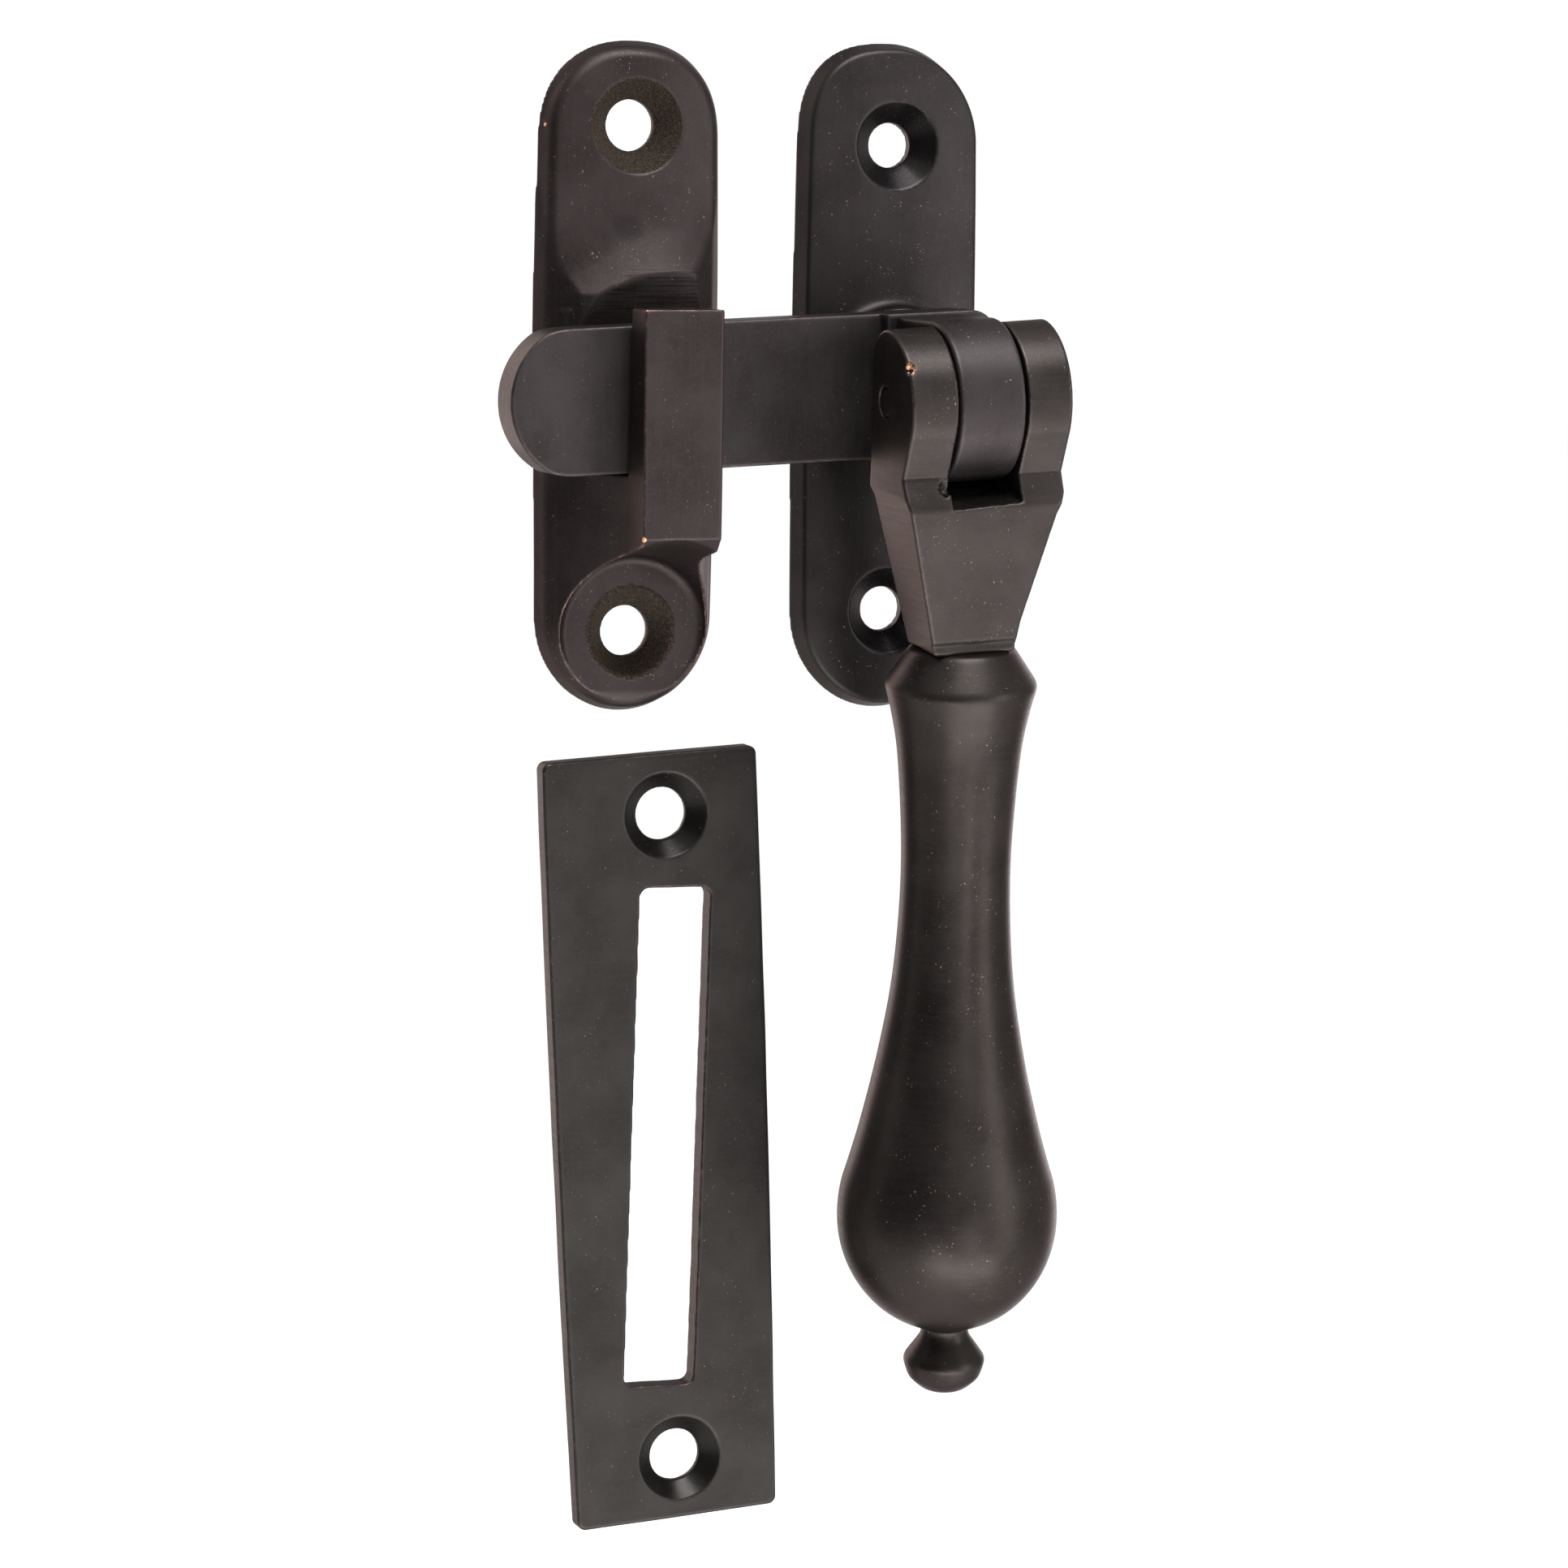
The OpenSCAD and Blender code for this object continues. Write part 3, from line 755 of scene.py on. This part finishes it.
# Strike plate: wider at the top, its sides a little bowed, with a slanted slot
STRIKE_W = 22.4
STRIKE_L = 78.2
STRIKE_TAPER = 0.6
STRIKE_BOW = 0.25
STRIKE_RAG = 0.05
STRIKE_SINK_R = 4.35
STRIKE_SINK = 1.6
SLOT_L = 50.8
SLOT_W = 7.5
SLOT_SLANT = math.radians(4.2)
SLOT_MID = (0.3, 0.2)
STRIKE_HOLES = [STRIKE.inverted() @ Vector(mount_mm(name))
                for name in ("strike_screw_top", "strike_screw_bottom")]


def strike_field(x, y, z):
    """The strike plate, with slightly ragged outer and slot edges that are the same at every depth."""
    t = STRIKE_T - y
    half = STRIKE_W / 2 + STRIKE_TAPER / 2 * z / (STRIKE_L / 2) - STRIKE_BOW * (z / (STRIKE_L / 2)) ** 2
    ragged = STRIKE_RAG * ripple(x, 0 * y, z, 14.0, 8.0)
    edge = common(np.abs(x) - half + ragged, np.abs(z) - STRIKE_L / 2 + ragged, 0.8)
    plate = common(edge, slab(t, 0, STRIKE_T), 0.3)
    u = (x - SLOT_MID[0]) * math.cos(SLOT_SLANT) - (z - SLOT_MID[1]) * math.sin(SLOT_SLANT)
    v = (x - SLOT_MID[0]) * math.sin(SLOT_SLANT) + (z - SLOT_MID[1]) * math.cos(SLOT_SLANT)
    slot = common(np.abs(u) - SLOT_W / 2, np.abs(v) - SLOT_L / 2, 1.0)
    plate = carve(plate, slot + STRIKE_RAG * ripple(x, 0 * y, z, 3.0, 4.0), 0.12)
    for hole in STRIKE_HOLES:
        sink = screw_hole(x - hole.x, t, z - hole.z, STRIKE_HOLE_R, STRIKE_SINK_R, STRIKE_SINK, STRIKE_T)
        plate = carve(plate, sink, RIM)
    return plate


def strike_sinks(x, y, z):
    """1 in the strike plate's countersinks."""
    return sum(in_sink(x - h.x, STRIKE_T - y, z - h.z, STRIKE_SINK_R) for h in STRIKE_HOLES)


HALF_STRIKE = np.array((STRIKE_W / 2 + STRIKE_TAPER / 2, 0, STRIKE_L / 2))
cast("strike_plate_body", strike_field, -HALF_STRIKE, HALF_STRIKE + (0, STRIKE_T, 0), STRIKE, "fixed_plates",
     ["strike_plate"], STRIKE_METAL, {"spun": strike_sinks})

# ---------------------------------------------------------------- latch

# The bar about its pivot: a nose at the left, a hub, and a raised pad on the hub
BAR_HALF = 7.05
NOSE = 42.37
NOSE_R = 7.7
HUB_R = 7.2
HUB_CORNER = 2.6
PAD_LEFT = -4.3
NECK_HALF = 2.5


def bar_field(x, y, z):
    """The latch bar."""
    t = -y
    arm = np.maximum(np.abs(z) - BAR_HALF, x)
    nose = np.minimum(span(x + NOSE - NOSE_R, z) - NOSE_R, -(x + NOSE - NOSE_R))
    hub = common(np.abs(x) - HUB_R, np.abs(z) - BAR_HALF, HUB_CORNER)
    flat = np.minimum(common(arm, nose, 0.6), hub)
    bar = common(flat, slab(t, BAR_BACK, BAR_FRONT), FINE)
    pad_plan = common(x - HUB_R, np.abs(z) - BAR_HALF, HUB_CORNER)
    pad = common(np.maximum(pad_plan, PAD_LEFT - x), slab(t, BAR_FRONT - 1, PAD_FRONT), FINE)
    bar = join(bar, pad, 0.25) + 0.01 * ripple(x, y, z, 7.0, 3.0)
    return carve(bar, np.maximum(np.abs(x), np.abs(z)) - NECK_HALF, RIM)


cast("latch_bar_body", bar_field, (-NOSE, -PAD_FRONT, -NOSE_R), (HUB_R, -BAR_BACK, NOSE_R), LATCH, "latch",
     ["latch_bar"], BAR_METAL)

# The stud: a knuckle a little taller than round, and behind it the neck, the journal and the tail,
# whose riveted head is a flattened ball cut off at the washer
KNUCKLE_R = 7.39
KNUCKLE_TALL = 1.05
KNUCKLE_LOW = 0.2
KNUCKLE_HALF = 3.33
PIN_R = 1.5
JOURNAL_BACK = 1.67
TAIL_R = 1.8
TAIL_ENDS = (0.3, 2.0)
TAIL_BACK = 0.14
RIVET_R = 3.0
RIVET_BALL = 4.4
RIVET_MID = 3.4
RIVET_FLAT = 1.9
RIVET_SEAT = 0.85


def stud_field(x, y, z):
    """The hinge stud."""
    t = -y
    rho = span(x, z)
    journal = common(rho - JOURNAL_R, slab(t, JOURNAL_BACK, BAR_BACK), 0.1)
    tail = np.maximum(rho - TAIL_R, slab(t, *TAIL_ENDS))
    ball = np.sqrt(x * x + z * z + (t - RIVET_MID) ** 2 * RIVET_FLAT) - RIVET_BALL
    head = common(np.maximum(ball, t - RIVET_SEAT), rho - RIVET_R + 0.25, 0.15)
    neck = np.maximum(np.maximum(np.abs(x), np.abs(z)) - NECK_HALF, slab(t, BAR_BACK - 0.2, PAD_FRONT + 0.2))
    lower, zp = t - PIN_DEPTH, z + PIN_DROP
    tall = (zp + KNUCKLE_LOW) / KNUCKLE_TALL
    block = np.maximum(np.abs(tall) - KNUCKLE_R, slab(t, PAD_FRONT, PIN_DEPTH))
    round_end = np.maximum(span(lower, tall) - KNUCKLE_R, PAD_FRONT - t)
    knuckle = common(np.minimum(block, round_end), np.abs(x) - KNUCKLE_HALF, 0.3)
    stud = np.minimum(np.minimum(journal, tail), np.minimum(head, neck))
    stud = np.minimum(stud, knuckle)
    return carve(stud, span(lower, zp) - PIN_R - 0.04, RIM)


cast("hinge_stud_body", stud_field, (-KNUCKLE_HALF, -PIN_DEPTH - KNUCKLE_R, -PIN_DROP - KNUCKLE_R - 1),
     (KNUCKLE_HALF, -TAIL_BACK, KNUCKLE_R), LATCH, "latch", ["hinge_stud"], BAR_METAL)


# ---------------------------------------------------------------- handle

# The fork about the hinge pin, z up along the handle: ears, slot, notch, shoulder and tapering neck
EAR_R = 7.2
EAR_SWELL = 0.018
EAR_BACK = 3.5
EAR_ROUND = 4.0
FORK_HALF = 8.2
FORK_TRIM = 0.35
SLOT_HALF = 3.6
SLOT_SHIFT = 0.09
FORK_SLOT = 9.2
FLOOR_RISE = 0.2
FLOOR_TILT = 0.05
SHOULDER = 8.6
NECK_S = 24.3
NECK_W = 4.2
NECK_FRONT = 3.9
NECK_BACK = 2.8
NOTCH = (4.95, -6.7)
FACET = (6.4, -9.6)
GROOVE = (4.3, 0.75 - NECK_S)
GROOVE_R = 0.5


def arc(x, y, r, a0, a1, steps):
    """Points of an arc about (x, y), between two angles in degrees."""
    turns = [math.radians(a0 + (a1 - a0) * k / steps) for k in range(steps + 1)]
    return [(x + r * math.cos(a), y + r * math.sin(a)) for a in turns]


# Taper of the fork below its shoulder, and where the small arc behind an ear has its middle
FORK_TAPER = (FORK_HALF - NECK_W) / (NECK_S - SHOULDER)
BACK_X = EAR_ROUND - EAR_BACK
BACK_Z = math.sqrt((EAR_R - EAR_ROUND) ** 2 - BACK_X ** 2)
EAR_CROWN = math.degrees(math.atan2(BACK_Z, BACK_X))
FORK_SIDE = (arc(BACK_X, BACK_Z, EAR_ROUND, 180, EAR_CROWN, 16) + arc(0, 0, EAR_R, EAR_CROWN - 2, -20, 48)
             + [NOTCH, FACET, (NECK_FRONT, -NECK_S), (-NECK_BACK, -NECK_S), (-NECK_BACK, -SHOULDER - 1),
                (-EAR_BACK, -SHOULDER)])

# Casting flaws, as (right, forward, up): a chip at the left ear's edge and a crumb at the slot's corner
CHIP = (-FORK_HALF, 5.6, 4.1)
CHIP_R = 0.55
CRUMB = (-SLOT_HALF - 0.4, 5.4, -7.6)
CRUMB_R = 0.75


def pit(x, q, z, spot, r):
    """Distance to a round pit at a spot."""
    return np.sqrt((x - spot[0]) ** 2 + (q - spot[1]) ** 2 + (z - spot[2]) ** 2) - r


def fork_width(x, z):
    """Half the fork's width: full down to the shoulder, then tapering, and trimmed on the right."""
    width = FORK_HALF - FORK_TAPER * np.maximum(-SHOULDER - z, 0)
    trim = np.where(x > 0, FORK_TRIM, 0.0)
    return width - trim * np.clip((-SHOULDER - z) / 2, 0, 1) * np.clip((z + NECK_S) / 3, 0, 1)


def fork_field(x, y, z):
    """The handle's fork, with a shallow groove above its bottom edge and two small casting flaws."""
    q = -y
    side = outline(q, z, FORK_SIDE) - EAR_SWELL * x * np.clip((z + SHOULDER) / 2, 0, 1)
    steep = np.where(z < -SHOULDER, math.sqrt(1 + FORK_TAPER * FORK_TAPER), 1.0)
    fork = common(side, (np.abs(x) - fork_width(x, z)) / steep, FINE)
    slot_floor = FLOOR_RISE * (NOTCH[0] - q) + FLOOR_TILT * x - FORK_SLOT + 0.06 * ripple(x, y, z, 1.1, 5.0)
    fork = carve(fork, np.maximum(np.abs(x - SLOT_SHIFT) - SLOT_HALF, slot_floor - z), 0.08)
    fork = carve(fork, span(q, z) - PIN_R, 0.05)
    fork = carve(fork, span((q - GROOVE[0]) * 1.2, z - GROOVE[1]) - GROOVE_R, 0.15)
    rough = 0.22 * ripple(x, y, z, 0.7, 6.0)
    fork = carve(fork, pit(x, q, z, CHIP, CHIP_R) + rough, 0.04)
    return carve(fork, pit(x, q, z, CRUMB, CRUMB_R) + rough, 0.04)


def ear_chip(x, y, z):
    """1 in the chip at the left ear's edge."""
    return near(x, y, z, CHIP, 1.0) - 0.12


cast("handle_fork_body", fork_field, (-FORK_HALF, -EAR_R - 0.3, -NECK_S),
     (FORK_HALF, EAR_BACK, EAR_R + 0.3), HANDLE, "handle", ["handle_fork"],
     HANDLE_METAL, {"chip": ear_chip})

# The grip as (distance down the handle, radius), in parts of the handle's length and the grip's radius
GRIP_R = 11.0
GRIP_GAP = 0.28
GRIP_SIDES = 144
COLLAR = [(0.2395, 0.0), (0.2395, 0.42), (0.2402, 0.46), (0.2765, 0.682), (0.299, 0.625)]
BALUSTER = [(0.299, 0.625), (0.35, 0.545), (0.456, 0.49), (0.56, 0.535), (0.645, 0.655), (0.72, 0.81),
            (0.775, 0.952)]
BULB_S, BULB_UP, BULB_DOWN = 0.813, 0.128, 0.1165
FINIAL_NECK = 0.215
FINIAL = [(0.937, FINIAL_NECK), (0.9625, 0.381), (0.9805, 0.33), (0.992, 0.215), (1.0, 0.0)]

# The upper grip leans this far to the right, and the lean ends this far down
BEND = 0.36
BEND_END = 68.0


def smooth(points, steps):
    """A smooth curve through a list of points."""
    out = []
    for i in range(len(points) - 1):
        p0, p1, p2, p3 = (np.array(points[min(max(k, 0), len(points) - 1)]) for k in range(i - 1, i + 3))
        for k in range(steps):
            t = k / steps
            out.append(0.5 * (2 * p1 + (p2 - p0) * t + (2 * p0 - 5 * p1 + 4 * p2 - p3) * t * t
                              + (3 * p1 - p0 - 3 * p2 + p3) * t ** 3))
    return out


def bulb(steps):
    """The bulb: a half-ellipse above its widest ring and a shorter one below."""
    first = BALUSTER[-1][0]
    last = BULB_S + BULB_DOWN * math.sqrt(1 - FINIAL_NECK ** 2)
    out = []
    for k in range(steps + 1):
        f = first + (last - first) * math.sin(math.pi / 2 * k / steps)
        reach = BULB_UP if f < BULB_S else BULB_DOWN
        out.append((f, math.sqrt(1 - ((f - BULB_S) / reach) ** 2)))
    return out


def even(points, gap, ease):
    """Points every gap millimetres along a line, with its creases eased over that many points."""
    points = np.array(points)
    walk = np.concatenate([[0], np.cumsum(np.linalg.norm(np.diff(points, axis=0), axis=1))])
    steps = int(walk[-1] / gap)
    at = np.linspace(0, walk[-1], steps + 1)
    line = np.stack([np.interp(at, walk, points[:, k]) for k in (0, 1)], 1)
    for _ in range(ease):
        line[1:-1] = (line[:-2] + 2 * line[1:-1] + line[2:]) / 4
    return line


grip_outline = COLLAR + smooth(BALUSTER, 8) + bulb(40) + FINIAL
grip_line = even([(p[1] * GRIP_R, -p[0] * HANDLE_L) for p in grip_outline], GRIP_GAP, 3)
grip_line[0, 0] = 0.0
grip_line[-1, 0] = 0.0
grip_points, grip_faces = turned([tuple(p) for p in grip_line], GRIP_SIDES)
grip_points[:, 0] += BEND * np.clip((grip_points[:, 2] + BEND_END) / (BEND_END - NECK_S), 0, 1)
add_piece("handle_grip_body", grip_points, grip_faces, HANDLE, "handle", ["handle_grip"],
          GRIP_METAL)

# ---------------------------------------------------------------- pin and washers

PIN_FRAME = HANDLE @ Matrix.Rotation(math.pi / 2, 4, "Y")
PIN_END = [(0, -FORK_HALF), (PIN_R * 0.6, -FORK_HALF + 0.03), (PIN_R - 0.12, -FORK_HALF + 0.1),
           (PIN_R, -FORK_HALF + 0.25)]
pin_points, pin_faces = turned(PIN_END + [(r, -h) for r, h in reversed(PIN_END)], 48)
add_piece("hinge_pin_body", pin_points, pin_faces, PIN_FRAME, "handle", ["hinge_pin"],
          PIN_METAL)

WASHER_ARC = np.linspace(-1.5, 1.5, 9)


def washer(name, node, body, inner, wave, place):
    """A washer with rounded rims, waved round its ring. Its outer size and depths are its node's."""
    low, high = box_mm(node)
    outer = (high[0] - low[0]) / 2
    r = (high[1] - low[1]) / 2 - wave
    mid = -(low[1] + high[1]) / 2
    line = [(outer - r + r * math.cos(a), r * math.sin(a)) for a in WASHER_ARC]
    line += [(inner + r * 0.6 - r * 0.6 * math.cos(a), r * math.sin(a)) for a in reversed(WASHER_ARC)]
    points, faces = turned(line, 96)
    turn = np.arctan2(points[:, 1], points[:, 0])
    points[:, 2] += mid + wave * np.sin(3 * turn)
    facing = place @ Matrix.Rotation(math.pi / 2, 4, "X")
    add_piece(name, points, faces, facing, body, [node], WASHER_METAL)


washer("spring_washer_ring", "spring_washer", "fixed_plates", JOURNAL_R + 0.2, 0.08, WORLD)
washer("back_washer_ring", "back_washer", "latch", TAIL_R, 0.0, LATCH)

# ---------------------------------------------------------------- floor, light and camera

MIDDLE = (cad_box[0] + cad_box[1]) / 2

# Metres: the floor's half width and how far it is below the latch, and the black card
FLOOR_HALF = 6.0
FLOOR_DROP = 0.30
CARD_HALF = (0.65, 0.7)
CARD_DISTANCE = 0.9
CARD_BEARING = math.radians(-62)


def panel(name, corners, grey, rough):
    """A flat four-cornered piece of the studio in one plain grey."""
    mesh = bpy.data.meshes.new(name)
    mesh.from_pydata(corners, [], [(0, 1, 2, 3)])
    paint = bpy.data.materials.new(name + "_paint")
    paint.use_nodes = True
    shader = paint.node_tree.nodes["Principled BSDF"]
    shader.inputs["Base Color"].default_value = (grey, grey, grey, 1)
    shader.inputs["Roughness"].default_value = rough
    mesh.materials.append(paint)
    sheet = bpy.data.objects.new(name, mesh)
    bpy.context.scene.collection.objects.link(sheet)
    return sheet


def floor():
    """A plain pale floor, well below the hanging latch."""
    half = FLOOR_HALF
    low = cad_box[0].z - FLOOR_DROP
    corners = [(-half, -half, low), (half, -half, low), (half, half, low), (-half, half, low)]
    panel("floor", corners, 0.95, 0.9)


def softbox(name, bearing, height, distance, width, tall, power, colour=(1, 1, 1)):
    """An area light aimed at the middle of the latch. Bearing 0 is in front of the wall, 90 to its right."""
    light = bpy.data.lights.new(name, "AREA")
    light.shape = "RECTANGLE"
    light.size, light.size_y = width, tall
    light.energy = power
    light.color = colour
    lamp = bpy.data.objects.new(name, light)
    a, e = math.radians(bearing), math.radians(height)
    away = Vector((math.sin(a) * math.cos(e), -math.cos(a) * math.cos(e), math.sin(e)))
    lamp.location = MIDDLE + distance * away
    lamp.rotation_euler = away.to_track_quat("Z", "Y").to_euler()
    lamp.visible_camera = False
    bpy.context.scene.collection.objects.link(lamp)


def studio():
    """An even pale surround with soft lights in front, above and to the sides."""
    world = bpy.data.worlds.new("studio")
    bpy.context.scene.world = world
    world.use_nodes = True
    world.node_tree.nodes["Background"].inputs["Color"].default_value = (1.0, 1.0, 1.0, 1)
    world.node_tree.nodes["Background"].inputs["Strength"].default_value = 1.05
    softbox("low_box", 0, -52, 0.45, 0.55, 0.22, 3.4)
    softbox("front_strip", 4, -24, 0.8, 0.16, 0.36, 1.6)
    softbox("top_box", 8, 66, 0.8, 0.5, 0.4, 11.0, (0.96, 0.98, 1.0))
    softbox("right_box", 42, -3, 0.9, 0.36, 0.9, 5.0)
    softbox("rim_box", 130, 5, 1.0, 0.4, 1.2, 5.5)
    softbox("left_box", -162, 5, 1.0, 0.55, 1.2, 14.0, (1.0, 0.94, 0.9))


def dark_card():
    """A black card to the left, out of the camera's sight, that deepens the faces turned that way."""
    w, h = CARD_HALF
    card = panel("dark_card", [(-w, 0, -h), (w, 0, -h), (w, 0, h), (-w, 0, h)], 0.01, 1.0)
    a = CARD_BEARING
    card.location = MIDDLE + CARD_DISTANCE * Vector((math.sin(a), -math.cos(a), 0.0))
    card.rotation_euler = (0, 0, a)
    card.visible_camera = False
    card.visible_shadow = False
    card.visible_diffuse = False


# The camera: its direction and roll in degrees, its lens, and in millimetres how far it is from the
# point it looks at and how far to the right of the latch's middle, and above it, that point is
AZIMUTH, ELEVATION, ROLL = 21.51, 7.67, 0.91
SENSOR_MM = 36.0
LENS_MM = 114.9168
CAMERA_DISTANCE = 487.761
AIM_RIGHT = -0.898
AIM_UP = 2.648


def camera():
    """The camera at the photograph's viewing angle, with no shift."""
    azimuth, elevation, roll = (math.radians(angle) for angle in (AZIMUTH, ELEVATION, ROLL))
    look = Vector((math.sin(azimuth) * math.cos(elevation), math.cos(azimuth) * math.cos(elevation),
                   -math.sin(elevation)))
    right = Vector((math.cos(azimuth), -math.sin(azimuth), 0))
    up = right.cross(look)
    tilted_right = right * math.cos(roll) + up * math.sin(roll)
    tilted_up = up * math.cos(roll) - right * math.sin(roll)
    data = bpy.data.cameras.new("camera")
    data.sensor_width = SENSOR_MM
    data.lens = LENS_MM
    data.clip_start = 0.01
    eye = bpy.data.objects.new("camera", data)
    turn = Matrix((tilted_right, tilted_up, -look)).transposed().to_4x4()
    place = MIDDLE + (AIM_RIGHT * right + AIM_UP * up - CAMERA_DISTANCE * look) * MM
    eye.matrix_world = Matrix.Translation(place) @ turn
    bpy.context.scene.collection.objects.link(eye)
    bpy.context.scene.camera = eye


floor()
studio()
dark_card()
camera()
bpy.context.scene.view_settings.view_transform = "Standard"
